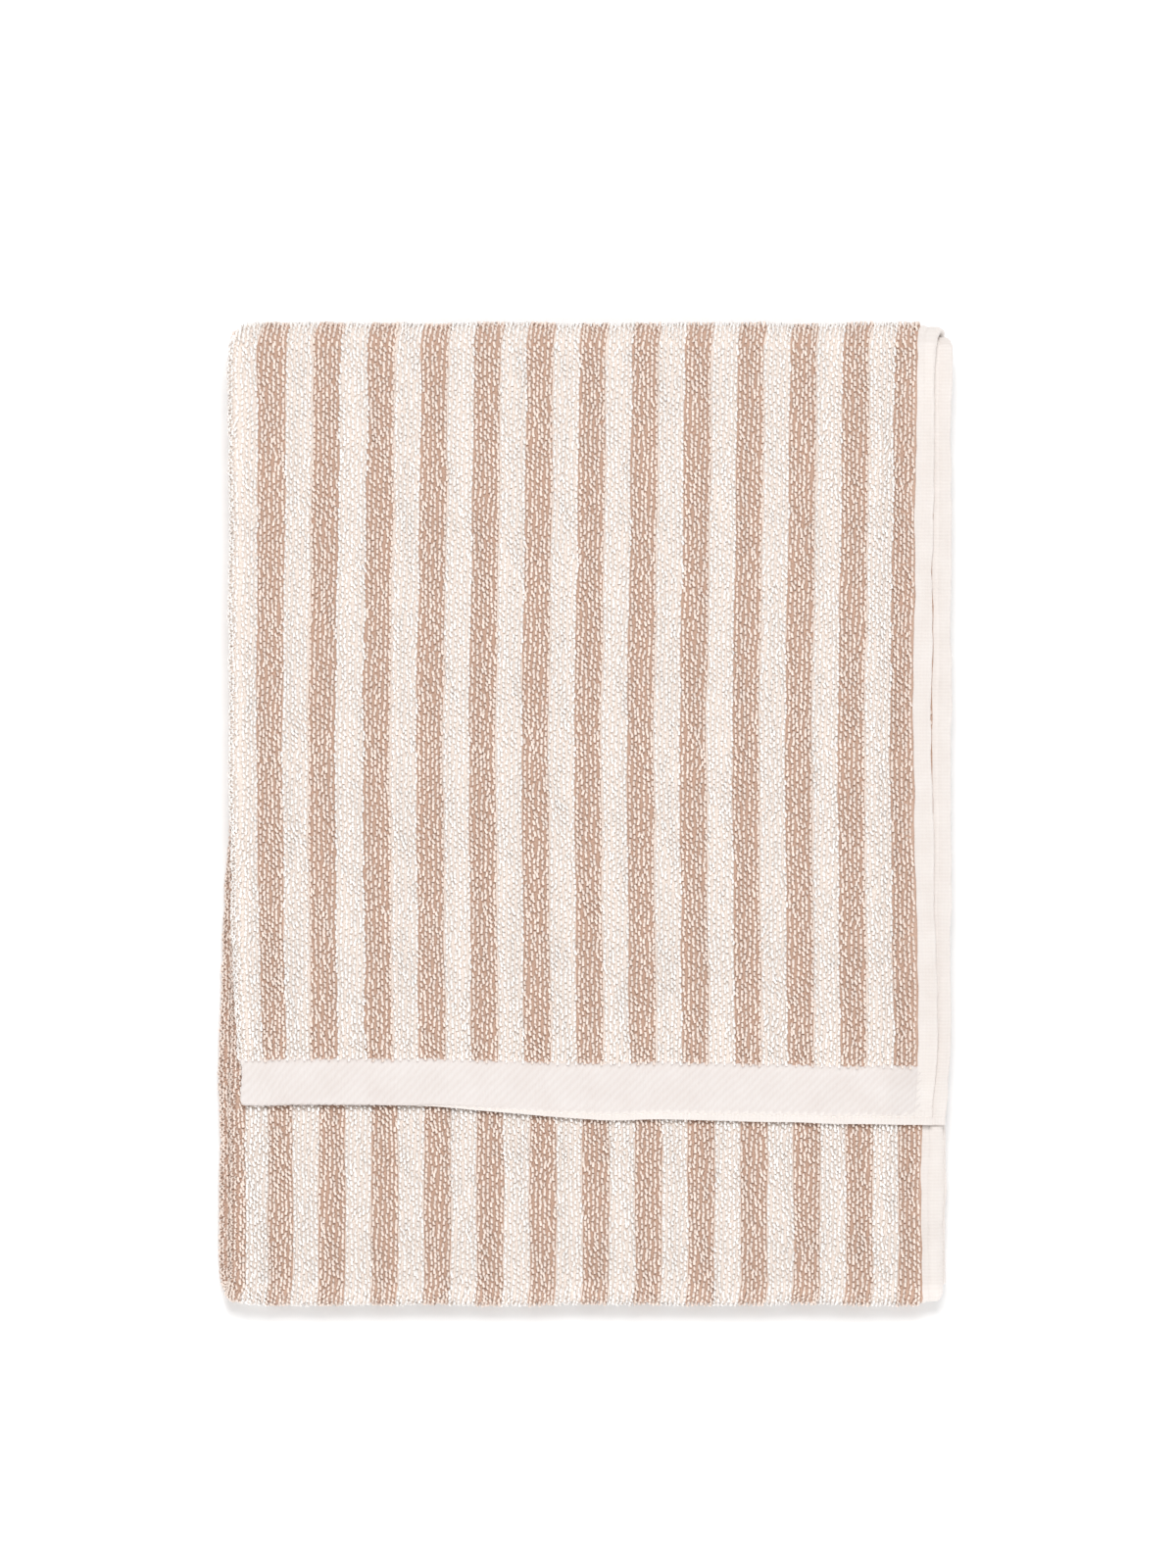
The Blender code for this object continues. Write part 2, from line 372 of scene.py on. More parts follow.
def add(tree, kind, inputs=None, **settings):
    made = tree.nodes.new(kind)
    for name, value in settings.items():
        setattr(made, name, value)
    for key, value in (inputs or {}).items():
        if isinstance(value, bpy.types.NodeSocket):
            tree.links.new(value, made.inputs[key])
        else:
            made.inputs[key].default_value = value
    return made


def math_node(tree, operation, first, second=0.0, third=0.0):
    return add(tree, "ShaderNodeMath", {0: first, 1: second, 2: third}, operation=operation).outputs[0]


def split(tree, vector):
    return add(tree, "ShaderNodeSeparateXYZ", {0: vector}).outputs


def joined(tree, x, y, z):
    return add(tree, "ShaderNodeCombineXYZ", {0: x, 1: y, 2: z}).outputs[0]


def scaled(tree, vector, factor):
    return add(tree, "ShaderNodeVectorMath", {0: vector, 3: factor}, operation="SCALE").outputs[0]


def noise(tree, place, scale, detail, output=0):
    made = add(tree, "ShaderNodeTexNoise", {"Vector": place, "Scale": scale, "Detail": detail})
    return made.outputs[output]


def linear(hex_colour):
    parts = [int(hex_colour[place:place + 2], 16) / 255 for place in (1, 3, 5)]
    return (*[part / 12.92 if part <= 0.04045 else ((part + 0.055) / 1.055) ** 2.4
              for part in parts], 1.0)


def new_object(name, mesh):
    obj = bpy.data.objects.new(name, mesh)
    scene.collection.objects.link(obj)
    return obj


# %% [markdown]
# A sheet with a thickness is two grids, one for each face, joined by a rim. The cloth map `OFBake`
# holds where on the flat cloth each face lies, so patterns follow the weave round every fold. The
# rim's strip of the map is laid just outside the grid's, so that no face is without a width there.

# %% A sheet with two faces
MAP_MARGIN = 0.02  # of the map's width, kept for the rim


def slab(name, outer, inner, material):
    """outer and inner are grids of points, rows by columns. Faces point away from the cloth."""
    rows, columns = outer.shape[:2]
    count = rows * columns
    index = np.arange(count).reshape(rows, columns)
    u, v = np.meshgrid(np.linspace(MAP_MARGIN, 1 - MAP_MARGIN, columns),
                       np.linspace(MAP_MARGIN, 1 - MAP_MARGIN, rows))
    place = np.stack([u, v], -1).reshape(-1, 2)
    a, b, c, d = index[:-1, :-1], index[:-1, 1:], index[1:, 1:], index[1:, :-1]
    front = np.stack([a, b, c, d], -1).reshape(-1, 4)
    back = front[:, ::-1] + count
    ring = np.concatenate([index[0], index[1:, -1], index[-1, -2::-1], index[-2:0:-1, 0]])
    following = np.roll(ring, -1)
    middle = np.array([0.5, 0.5])
    rim = np.stack([following, ring, ring + count, following + count], -1)
    outwards = middle + (place - middle) / (1 - 2 * MAP_MARGIN)
    rim_map = np.stack([place[following], place[ring], outwards[ring], outwards[following]], 1)
    faces = np.concatenate([front, back, rim])
    corners = np.concatenate([place[front], place[back - count], rim_map])
    mesh = bpy.data.meshes.new(name)
    points = np.concatenate([outer.reshape(-1, 3), inner.reshape(-1, 3)])
    mesh.from_pydata(points.tolist(), [], faces.tolist())
    mesh.uv_layers.new(name="OFBake").data.foreach_set("uv", corners.reshape(-1).astype(np.float32))
    volume = np.einsum("ij,ij->i", points[faces[:, 0]],
                       np.cross(points[faces[:, 1]], points[faces[:, 2]])
                       + np.cross(points[faces[:, 2]], points[faces[:, 3]])).sum()
    if volume < 0:
        mesh.flip_normals()
    mesh.polygons.foreach_set("use_smooth", [True] * (len(faces) - len(rim)) + [False] * len(rim))
    edge_of_corner = np.empty(len(mesh.loops), np.int32)
    mesh.loops.foreach_get("edge_index", edge_of_corner)
    sharp = np.zeros(len(mesh.edges), bool)
    sharp[edge_of_corner[-4 * len(rim):]] = True  # so that the rim doesn't shade the faces beside it
    mesh.edges.foreach_set("use_edge_sharp", sharp)
    mesh.materials.append(material)
    return new_object(name, mesh)


# %% [markdown]
# # Materials
# Every part of this towel is cotton, but it shows four different surfaces. The pile is soft single
# yarn that scatters light and glows a little at its edges. The ground under it is a tight weave that
# is seen only between the loops. The borders and the long hems are flat weaves without pile, smoother
# and paler. The seams are sewn with a harder, slightly glossy thread.

# %% A cotton material and its nodes


def cloth_material(name, roughness, sheen, sheen_tint="#FFFFFF"):
    """A new cotton material, with its node tree and its shader."""
    material = bpy.data.materials.new(name)
    material.use_nodes = True
    tree = material.node_tree
    shader = tree.nodes["Principled BSDF"]
    for socket, value in {"Roughness": roughness, "Specular IOR Level": 0.25, "Sheen Weight": sheen,
                          "Sheen Roughness": 0.6, "Sheen Tint": linear(sheen_tint)}.items():
        shader.inputs[socket].default_value = value
    return material, tree, shader


def known(tree, name, output="Fac"):
    """What a piece's own attribute says at this place."""
    return add(tree, "ShaderNodeAttribute", attribute_name=name).outputs[output]


def object_place(tree):
    return add(tree, "ShaderNodeTexCoord").outputs["Object"]


def roughen(tree, shader, height, strength, distance):
    bump = add(tree, "ShaderNodeBump", {"Height": height, "Strength": strength, "Distance": distance})
    tree.links.new(bump.outputs[0], shader.inputs["Normal"])


def mix_colours(tree, share, first, second):
    mix = add(tree, "ShaderNodeMix", {0: share, 6: first, 7: second}, data_type="RGBA")
    return mix.outputs[2]


ECRU, TAN = linear("#FDF9F6"), linear("#F4E4D9")

# %% [markdown]
# The pile is ring-spun cotton: short fibres twisted into soft yarn, so it is matt, with a pale fuzz at
# grazing angles. Yarn dyed in the hank is never quite even, so each loop has its own tone. The foot of
# each loop is painted darker and warmer, fading out up the loop: painted shade between the loops.

# %% Ring-spun cotton pile
FIBRE = 0.00022  # a visible bundle of fibres; single fibres are too fine to show

PILE, tree, shader = cloth_material("Ring-spun cotton pile", 0.92, 0.35, "#FFF3EA")
tan, tone, rise = (known(tree, name) for name in ("tan", "tone", "rise"))
dye = mix_colours(tree, tan, ECRU, TAN)
# Painted shade: a darker, warmer colour at each loop's foot gives way to the yarn's colour from 15 to 85
# % of its height.
foot = mix_colours(tree, tan, linear("#F8ECE3"), linear("#D4B3A0"))
above_painted_shade = add(tree, "ShaderNodeMapRange", {0: rise, 1: 0.15, 2: 0.85}).outputs[0]
body = mix_colours(tree, above_painted_shade, foot, dye)
level = math_node(tree, "MULTIPLY_ADD", tone, 0.16, 0.88)
tree.links.new(scaled(tree, body, level), shader.inputs["Base Color"])
roughen(tree, shader, noise(tree, object_place(tree), 1 / FIBRE, 2.0), 0.35, 0.0001)

# %% [markdown]
# The ground is a plain weave of thinner, harder yarn. Its weft is ecru all over, so under a tan stripe
# it is a mixture, and it lies in the shade of the loops. Both its colours are also painted darker than
# the pile's yarn, as painted shade for the ground under the loops.

# %% Terry ground weave
GROUND, tree, shader = cloth_material("Terry ground weave", 0.95, 0.15)
across, along, _ = split(tree, known(tree, "cloth", "Vector"))
to_stripe = math_node(tree, "PINGPONG", across, REPEAT / 2)
in_tan = math_node(tree, "LESS_THAN", to_stripe, REPEAT / 4)
weft = math_node(tree, "SINE", math_node(tree, "MULTIPLY", along, 2 * math.pi / LOOP_ALONG))
warp = math_node(tree, "SINE", math_node(tree, "MULTIPLY", across, 2 * math.pi / LOOP_ACROSS))
crossing = math_node(tree, "MULTIPLY", weft, warp)
# Painted shade: both colours are darker than the pile's yarn, for the ground under the loops; the
# weave's crossings darken them a little more.
ground_colour_and_painted_shade = mix_colours(tree, in_tan, linear("#F6EAE1"), linear("#CFAF9C"))
shade = math_node(tree, "MULTIPLY_ADD", crossing, 0.06, 0.94)
tree.links.new(scaled(tree, ground_colour_and_painted_shade, shade), shader.inputs["Base Color"])
roughen(tree, shader, crossing, 0.6, 0.0003)

# %% [markdown]
# The borders are a flat cotton weave with a slanting rib, and the long hems are the selvedge turned on
# itself, with a fine rib across. Neither has pile, so they look smoother and paler than the terry.
# The big ribs of a border are in its shape; the threads are too fine for that and are a bump here.

# %% Flat woven cotton
THREAD_PITCH = 0.0011  # of a flat weave; a real one is a third of that, too fine to see from here


def flat_weave(name, colour, shade_colour, across_pitch, along_pitch, slant, strength, contrast):
    material, tree, shader = cloth_material(name, 0.82, 0.2)
    cloth = known(tree, "cloth", "Vector")
    across, along, _ = split(tree, cloth)
    one = math_node(tree, "MULTIPLY_ADD", across, slant, along)
    ribs = math_node(tree, "SINE", math_node(tree, "MULTIPLY", one, 2 * math.pi / along_pitch))
    threads = math_node(tree, "SINE", math_node(tree, "MULTIPLY", across, 2 * math.pi / across_pitch))
    height = math_node(tree, "MULTIPLY_ADD", threads, 0.35, ribs)
    # Painted shade: the colour goes towards shade_colour in the hollows of the ribs and threads, with a
    # random tone from the noise on top.
    low = math_node(tree, "MULTIPLY_ADD", height, contrast, noise(tree, cloth, 90.0, 3.0))
    colours = mix_colours(tree, low, linear(shade_colour), linear(colour))
    tree.links.new(colours, shader.inputs["Base Color"])
    roughen(tree, shader, height, strength, 0.00012)
    return material


TWILL = flat_weave("Cotton twill border", "#E0DAD7", "#D5CBC6",
                   THREAD_PITCH, 0.0033, 1.1, 0.35, 0.16)
SELVEDGE = flat_weave("Woven cotton selvedge", "#EAE4E0", "#DDD4CE",
                      THREAD_PITCH, 0.0012, 0.0, 0.25, 0.10)

# %% [markdown]
# Sewing thread is polyester with a cotton cover, in three plies. It is smoother than the cloth's yarn
# and has a soft shine along its length.

# %% Core-spun sewing thread
THREAD, tree, shader = cloth_material("Core-spun sewing thread", 0.55, 0.1)
TURNS_OF_PLY = 2200.0  # per metre of thread
plies = noise(tree, object_place(tree), TURNS_OF_PLY, 1.0)
thread_colour = mix_colours(tree, plies, linear("#E9DDD5"), linear("#F8F1EC"))
tree.links.new(thread_colour, shader.inputs["Base Color"])
roughen(tree, shader, plies, 0.3, 0.0001)
print("materials", [material.name for material in (PILE, GROUND, TWILL, SELVEDGE, THREAD)])

# %% [markdown]
# # The pile, as a Geometry Nodes tree
# Terry is tens of thousands of nearly equal loops of yarn. Placing them by hand is out of the question,
# and a displaced surface can't show a gap under a loop. So a tree makes one loop, a thin tube bent
# along a Bezier arch, and puts it on every point of a carrier mesh. The carrier's points know which
# way is out of the cloth and which way the warp runs. Each loop leans its own way, but neighbours lean
# alike, because a slow noise steers them. A second shape, a small eight-sided crown, stands for the
# loop where two faces of the towel lie on each other: there only the tops can ever be seen.

# %% Sizes of the loops
GROUND_HALF = 0.0010  # from the cloth's middle to the face of its ground
LOOP_FOOT_LIFT = 0.0009
LOOP_SIZES = {
    "Yarn radius": 0.00044,
    "Loop height": 0.00116,
    "Loop foot": 0.00138,
    "Lean": 0.34,
    "Swing": 0.34,
    "Size variation": 0.16,
}

# %% Starting, ending and running a tree


def new_tree(name, inputs):
    """A tree that takes a mesh and these inputs, what it is given, and the inputs' identifiers."""
    tree = bpy.data.node_groups.new(name, "GeometryNodeTree")
    face = tree.interface
    for socket, kind in {"Geometry": "Geometry", **inputs, "Material": "Material"}.items():
        face.new_socket(socket, in_out="INPUT", socket_type=f"NodeSocket{kind}")
    face.new_socket("Geometry", in_out="OUTPUT", socket_type="NodeSocketGeometry")
    identifiers = {item.name: item.identifier for item in face.items_tree if item.in_out == "INPUT"}
    return tree, add(tree, "NodeGroupInput").outputs, identifiers


def stored(tree, name, kind="FLOAT_VECTOR"):
    return add(tree, "GeometryNodeInputNamedAttribute", {0: name}, data_type=kind).outputs[0]


def end_tree(tree, geometry, material):
    real = add(tree, "GeometryNodeRealizeInstances", {0: geometry})
    finished = add(tree, "GeometryNodeSetMaterial", {0: real.outputs[0], "Material": material})
    add(tree, "NodeGroupOutput", {0: finished.outputs[0]})


def run_tree(obj, tree, identifiers, values):
    """Evaluates the tree on the object and leaves a plain mesh."""
    maker = obj.modifiers.new("Maker", "NODES")
    maker.node_group = tree
    for name, value in values.items():
        maker[identifiers[name]] = value
    graph = bpy.context.evaluated_depsgraph_get()
    carrier_mesh = obj.data
    made = bpy.data.meshes.new_from_object(obj.evaluated_get(graph), depsgraph=graph)
    obj.modifiers.clear()
    obj.data = made
    bpy.data.meshes.remove(carrier_mesh)
    made.name = obj.name
    return obj


# %% Terry pile tree
pile_tree, given, PILE_INPUT = new_tree("Terry pile", {
    **dict.fromkeys(LOOP_SIZES, "Float"), "Crowns only": "Bool", "Map origin": "Vector",
    "Map scale": "Vector", "Seed": "Int"})


def number(operation, first, second=0.0, third=0.0):
    return math_node(pile_tree, operation, first, second, third)


def vector(x, y, z):
    return joined(pile_tree, x, y, z)


half_foot = number("MULTIPLY", given["Loop foot"], 0.5)
other_foot = number("MULTIPLY", half_foot, -1.0)
handle_y, other_handle_y = number("MULTIPLY", half_foot, 1.7), number("MULTIPLY", half_foot, -1.7)
handle_z = number("MULTIPLY", given["Loop height"], 1.33)
side = number("MULTIPLY", given["Yarn radius"], 0.6)
arch = add(pile_tree, "GeometryNodeCurvePrimitiveBezierSegment",
           {"Resolution": 4, "Start": vector(0.0, other_foot, 0.0),
            "Start Handle": vector(side, other_handle_y, handle_z),
            "End Handle": vector(number("MULTIPLY", side, -1.0), handle_y, handle_z),
            "End": vector(0.0, half_foot, 0.0)}, mode="POSITION")
yarn = add(pile_tree, "GeometryNodeCurvePrimitiveCircle",
           {"Resolution": 3, "Radius": given["Yarn radius"]})
tube = add(pile_tree, "GeometryNodeCurveToMesh", {0: arch.outputs[0], 1: yarn.outputs[0]})
ball = add(pile_tree, "GeometryNodeMeshUVSphere", {"Segments": 4, "Rings": 2, "Radius": 1.0})
crown = add(pile_tree, "GeometryNodeTransform",
            {0: ball.outputs[0], "Rotation": (0.0, 0.0, 0.6),
             "Translation": vector(0.0, 0.0, number("MULTIPLY", given["Loop height"], 0.55)),
             "Scale": vector(number("MULTIPLY", given["Yarn radius"], 1.4),
                             number("MULTIPLY", given["Loop foot"], 0.68),
                             number("MULTIPLY", given["Loop height"], 0.68))})
one = add(pile_tree, "GeometryNodeSwitch", {0: given["Crowns only"], 1: tube.outputs[0],
                                            2: crown.outputs[0]}, input_type="GEOMETRY")
smooth = add(pile_tree, "GeometryNodeSetShadeSmooth", {0: one.outputs[0]})
here = add(pile_tree, "GeometryNodeInputPosition").outputs[0]
kept = add(pile_tree, "GeometryNodeStoreNamedAttribute", {0: smooth.outputs[0], 2: "in_loop", 3: here},
           data_type="FLOAT_VECTOR", domain="POINT")
risen = number("DIVIDE", split(pile_tree, here)[2], given["Loop height"])
loop = add(pile_tree, "GeometryNodeStoreNamedAttribute", {0: kept.outputs[0], 2: "rise", 3: risen},
           data_type="FLOAT", domain="POINT")

# %% [markdown]
# Then come the carrier's points. A loop's upright is the cloth's outward direction, its plane follows
# the warp, and noise leans and swings it. The copies become a real mesh at the end, and a last
# step writes the cloth map: every loop has its own small place in it.

# %% Instances, cloth map and material


def random(low, high, seed_step):
    seed = number("ADD", given["Seed"], seed_step)
    return add(pile_tree, "FunctionNodeRandomValue", {2: low, 3: high, "Seed": seed},
               data_type="FLOAT").outputs[1]


upright = add(pile_tree, "FunctionNodeAxesToRotation",
              {0: stored(pile_tree, "out"), 1: stored(pile_tree, "along")},
              primary_axis="Z", secondary_axis="Y")
slow_x, slow_y, slow_z = split(pile_tree, noise(pile_tree, here, 75.0, 1.0, output=1))
quick_x, quick_y, quick_z = split(pile_tree, noise(pile_tree, here, 420.0, 1.0, output=1))


def steered(slow_part, quick_part, spread, amount):
    bend = number("ADD", number("MULTIPLY_ADD", slow_part, 2.6, -1.3),
                  number("MULTIPLY_ADD", quick_part, 2.2, -1.1))
    return number("MULTIPLY", number("ADD", bend, spread), amount)


lean_over = steered(slow_x, quick_x, random(-0.7, 0.7, 1), given["Lean"])
lean_side = steered(slow_y, quick_y, random(-0.6, 0.6, 2), given["Lean"])
swing = steered(slow_z, quick_z, random(-0.7, 0.7, 3), given["Swing"])
turn = add(pile_tree, "FunctionNodeEulerToRotation", {0: vector(lean_over, lean_side, swing)})
turned = add(pile_tree, "FunctionNodeRotateRotation", {0: upright.outputs[0], 1: turn.outputs[0]},
             rotation_space="LOCAL")
size = number("MULTIPLY_ADD", random(-1.0, 1.0, 4), given["Size variation"], 1.0)
loops = add(pile_tree, "GeometryNodeInstanceOnPoints",
            {"Points": given["Geometry"], "Instance": loop.outputs[0], "Rotation": turned.outputs[0],
             "Scale": vector(size, size, size)})
real = add(pile_tree, "GeometryNodeRealizeInstances", {0: loops.outputs[0]})
local_x, local_y, local_z = split(pile_tree, stored(pile_tree, "in_loop"))
skewed = vector(number("MULTIPLY_ADD", local_z, 0.31, local_x),
                number("MULTIPLY_ADD", local_z, 0.23, local_y), 0.0)
laid = add(pile_tree, "ShaderNodeVectorMath",
           {0: stored(pile_tree, "flat"), 1: scaled(pile_tree, skewed, 0.62)}, operation="ADD")
from_corner = add(pile_tree, "ShaderNodeVectorMath", {0: laid.outputs[0], 1: given["Map origin"]},
                  operation="SUBTRACT")
on_map = add(pile_tree, "ShaderNodeVectorMath", {0: from_corner.outputs[0], 1: given["Map scale"]},
             operation="MULTIPLY")
mapped = add(pile_tree, "GeometryNodeStoreNamedAttribute", {0: real.outputs[0], 2: "OFBake",
             3: on_map.outputs[0]}, data_type="FLOAT2", domain="CORNER")
end_tree(pile_tree, mapped.outputs[0], given["Material"])
print("nodes in the pile tree", len(pile_tree.nodes))

# %% [markdown]
# # Sowing the loops
# The loom makes loops in columns and rows: a column is one pile yarn, and a row is one stroke of the
# reed. Neighbouring columns are half a row out of step. On the fold at the left the outside of the
# cloth is stretched, so the columns are counted out along that longer way round.

# %% Where the loops stand
SHOW_SIDE = 7  # columns of loops round the fold on the left
EDGE_COLUMNS = 4  # columns on the inner face of a sheet that sticks out past the one above


def columns_of(layer, part):
    """c of each column of loops on the layer's lower sheet, its upper sheet, or the fold between."""
    half = int(TERRY_HALF / LOOP_ACROSS)
    if part == "inner_edge":
        return (0.5 - half + np.arange(EDGE_COLUMNS)) * LOOP_ACROSS
    if part == "side":
        angle = (np.arange(SHOW_SIDE) + 0.5) / SHOW_SIDE * math.pi
        return path_to_c(layer, layer.lower_run + angle * layer.radius)
    c = (np.arange(-half, half) + 0.5) * LOOP_ACROSS
    along = path_of(layer, c) - layer.lower_run
    return c[along < 0] if part == "lower" else c[along > math.pi * layer.radius]


def carrier(name, points, out, along, c, dyed_c, v, seed):
    """A mesh of loose points for the pile tree. Each point carries its directions, dye and place."""
    random = np.random.default_rng(seed)
    mesh = bpy.data.meshes.new(name)
    mesh.from_pydata(points.reshape(-1, 3).tolist(), [], [])
    facts = {"out": out, "along": along, "flat": np.stack([c, v, np.zeros_like(c)], -1)}
    for fact, values in facts.items():
        mesh.attributes.new(fact, "FLOAT_VECTOR", "POINT").data.foreach_set(
            "vector", values.reshape(-1).astype(np.float32))
    dye = is_tan(dyed_c).reshape(-1)
    streak = wander(c, 21, 0.013) * 0.35 + wander(v, 22, 0.05) * 0.15
    tone = np.clip(0.5 + streak.reshape(-1) + random.normal(0, 0.28, dye.size), 0, 1)
    for fact, values in {"tan": dye, "tone": tone}.items():
        mesh.attributes.new(fact, "FLOAT", "POINT").data.foreach_set("value", values.astype(np.float32))
    return mesh


def grow(name, mesh, corners, seed, crowns):
    """Runs the pile tree on the carrier, and leaves a plain mesh of loops."""
    low, high = corners
    obj = run_tree(new_object(name, mesh), pile_tree, PILE_INPUT, {
        **LOOP_SIZES, "Crowns only": crowns, "Map origin": (*low, 0.0),
        "Map scale": (1 / (high[0] - low[0]), 1 / (high[1] - low[1]), 0.0),
        "Seed": seed, "Material": PILE})
    for spare in ("out", "along", "flat", "in_loop"):
        if spare in obj.data.attributes:
            obj.data.attributes.remove(obj.data.attributes[spare])
    return obj


# %% [markdown]
# The cloth's own length is `v`, from the free end of the base, down through the bottom fold, up the
# middle, over the top fold and down the flap to its end.

# %% Distance along the cloth
FOLD_CLOTH = math.pi * (BOTTOM.z - BASE.centre_z)  # what each fold takes, on average of its two sheets
OUTER_IS_LONGER = 1.6  # so that the loops on the outside of a fold have room on the cloth map
V_BASE_FOLD = BASE.y_high - BOTTOM.y
V_MIDDLE = V_BASE_FOLD + FOLD_CLOTH
V_TOP_FOLD = V_MIDDLE + TOP.y - BOTTOM.y
V_FLAP = V_TOP_FOLD + FOLD_CLOTH
UP_Y = {"base": -1, "middle": 1, "flap": -1}  # which way v grows


def v_of(layer, y):
    return {"base": BASE.y_high - y, "middle": V_MIDDLE + y - BOTTOM.y,
            "flap": V_FLAP + TOP.y - y}[layer.name]


LOOP_SPREAD = 0.00016
MAP_ROOM = 0.0022  # round the loops' feet, so that no loop leaves the map


def scattered(shape, seed):
    return np.random.default_rng(seed).normal(0, LOOP_SPREAD, shape)


def corners_of(c, v):
    return (c.min() - MAP_ROOM, v.min() - MAP_ROOM), (c.max() + MAP_ROOM, v.max() + MAP_ROOM)


def panel_pile(name, layer, part, y_low, y_high, seed, crowns):
    columns = columns_of(layer, part)
    count = max(1, round((y_high - y_low) / LOOP_ALONG))
    rows = y_low + (np.arange(count) + 0.5) / count * (y_high - y_low)
    c, y = np.meshgrid(columns, rows)
    y = y + (np.arange(len(columns)) % 2 - 0.5) * LOOP_ALONG / 2 + scattered(c.shape, seed)
    colour_c = dyed(layer, c)
    c = c + scattered(c.shape, seed + 1) * 0.6
    lift = -LOOP_FOOT_LIFT if part == "inner_edge" else LOOP_FOOT_LIFT
    points, out = panel(layer, c, y, lift)
    out = out * np.sign(lift)
    along = np.zeros_like(out)
    along[..., 1] = UP_Y[layer.name]
    v = v_of(layer, y)
    mesh = carrier(name, settle(points), out, along, c, colour_c, v, seed)
    return grow(name, mesh, corners_of(c, v), seed, crowns)


def fold_pile(name, fold, columns, rows, seed, crowns):
    share = (np.arange(rows) + 0.5) / rows
    c, share = np.meshgrid(columns, share)
    share = share + ((np.arange(len(columns)) % 2 - 0.5) * 0.5 / rows
                     + scattered(c.shape, seed) * 0.5 / LOOP_ALONG / rows)
    share = np.clip(share, 0.01, 0.99)
    points, out = around(fold, c, share, LOOP_FOOT_LIFT)
    ahead, _ = around(fold, c, share + 0.005, LOOP_FOOT_LIFT)
    along = ahead - points
    along /= np.linalg.norm(along, axis=-1, keepdims=True)
    v = v_of(fold.below, fold.y) + share * FOLD_CLOTH * OUTER_IS_LONGER
    dyed_c = (1 - share) * dyed(fold.below, c) + share * dyed(fold.above, c)
    mesh = carrier(name, settle(points), out, along, c, dyed_c, v, seed)
    return grow(name, mesh, corners_of(c, v), seed, crowns)


# %% [markdown]
# The loops that can be looked at closely are whole arches: the flap's upper face, the strip of the
# middle in front of it, the folds on the left, the outside of the two folds across, and a few columns
# beside the hems that stick out. Every other face gets crowns. Each piece stays below 200,000
# triangles, so a large face is sown in strips.

# %% Sowing every face
WHOLE_TRIANGLES, CROWN_TRIANGLES, MOST_TRIANGLES = 24, 8, 195000
FLAP_COVERS_TO = FLAP_END_Y - 0.004
PILES = {}


def strips(name, layer, part, y_low, y_high, seed, crowns=False):
    loops_in_row = len(columns_of(layer, part))
    each = CROWN_TRIANGLES if crowns else WHOLE_TRIANGLES
    rows = round((y_high - y_low) / LOOP_ALONG)
    count = math.ceil(rows * loops_in_row * each / MOST_TRIANGLES)
    edges = np.linspace(y_low, y_high, count + 1)
    for number_of, (low, high) in enumerate(zip(edges, edges[1:]), 1):
        piece = f"{name}_{number_of}" if count > 1 else name
        PILES[piece] = (panel_pile(piece, layer, part, low, high, seed + number_of, crowns), layer.name)


strips("flap_front_pile", FLAP, "upper", TERRY_END_Y, TOP.y, 100)
strips("flap_side_pile", FLAP, "side", TERRY_END_Y, TOP.y, 200)
strips("flap_back_pile", FLAP, "lower", TERRY_END_Y, TOP.y, 300, crowns=True)
strips("middle_front_pile", MIDDLE, "upper", BOTTOM.y, FLAP_COVERS_TO + 0.010, 400)
strips("middle_covered_pile", MIDDLE, "upper", FLAP_COVERS_TO + 0.010, TOP.y, 500, crowns=True)
strips("middle_side_pile", MIDDLE, "side", BOTTOM.y, TOP.y, 600)
strips("middle_back_pile", MIDDLE, "lower", BOTTOM.y, TOP.y, 700, crowns=True)
strips("base_side_pile", BASE, "side", BOTTOM.y, BASE.y_high, 800)
strips("base_covered_pile", BASE, "upper", BOTTOM.y, BASE.y_high, 900, crowns=True)
strips("base_under_pile", BASE, "lower", BOTTOM.y, BASE.y_high, 1000, crowns=True)
strips("flap_edge_pile", FLAP, "inner_edge", TERRY_END_Y, TOP.y, 1500)
strips("base_edge_pile", BASE, "inner_edge", BOTTOM.y, BASE.y_high, 1600)
FOLD_PILES = {}
for fold, seed in ((BOTTOM, 1100), (TOP, 1300)):
    outside = np.concatenate([columns_of(fold.below, "lower"), columns_of(fold.below, "side")])
    inside = columns_of(fold.below, "upper")
    end = fold.name.split("_")[0]
    FOLD_PILES[fold.name, "outer"] = fold_pile(f"{end}_fold_pile", fold, outside, 12, seed, False)
    FOLD_PILES[fold.name, "inner"] = fold_pile(f"{end}_crease_pile", fold, inside, 3, seed + 100, True)


def triangles(obj):
    return sum(len(polygon.vertices) - 2 for polygon in obj.data.polygons)


counts = {piece: triangles(obj) for piece, (obj, _) in PILES.items()}
counts.update({piece: triangles(obj) for piece, obj in FOLD_PILES.items()})
print("triangles of pile", sum(counts.values()), "most in one piece", max(counts.values()))

# %% [markdown]
# # The ground cloth
# Under the loops lies the cloth itself, about two millimetres thick. Each layer is one sheet from hem
# to hem, round the fold on the left, and each fold across is another, bent round the joint's line.

# %% Ground sheets
GRID_STEP = 0.007
FOLD_STEPS = 0.5 - 0.5 * np.cos(np.linspace(0, math.pi, 25))  # short steps where a fold leaves a layer


def c_samples(layer):
    """c of the ground's columns: even along the flat runs, close together round the fold."""
    arc = path_to_c(layer, layer.lower_run + np.linspace(0, math.pi * layer.radius, 13))
    return np.unique(np.concatenate([
        np.linspace(-TERRY_HALF, arc.min(), 50), arc, np.linspace(arc.max(), TERRY_HALF, 50)]))


def with_cloth_places(obj, c, v):
    """Stores where on the flat cloth each point lies, for the weave patterns. Both faces share it."""
    places = np.stack([c, v, np.zeros_like(c)], -1).reshape(-1, 3)
    both = np.concatenate([places, places]).astype(np.float32).reshape(-1)
    obj.data.attributes.new("cloth", "FLOAT_VECTOR", "POINT").data.foreach_set("vector", both)
    return obj


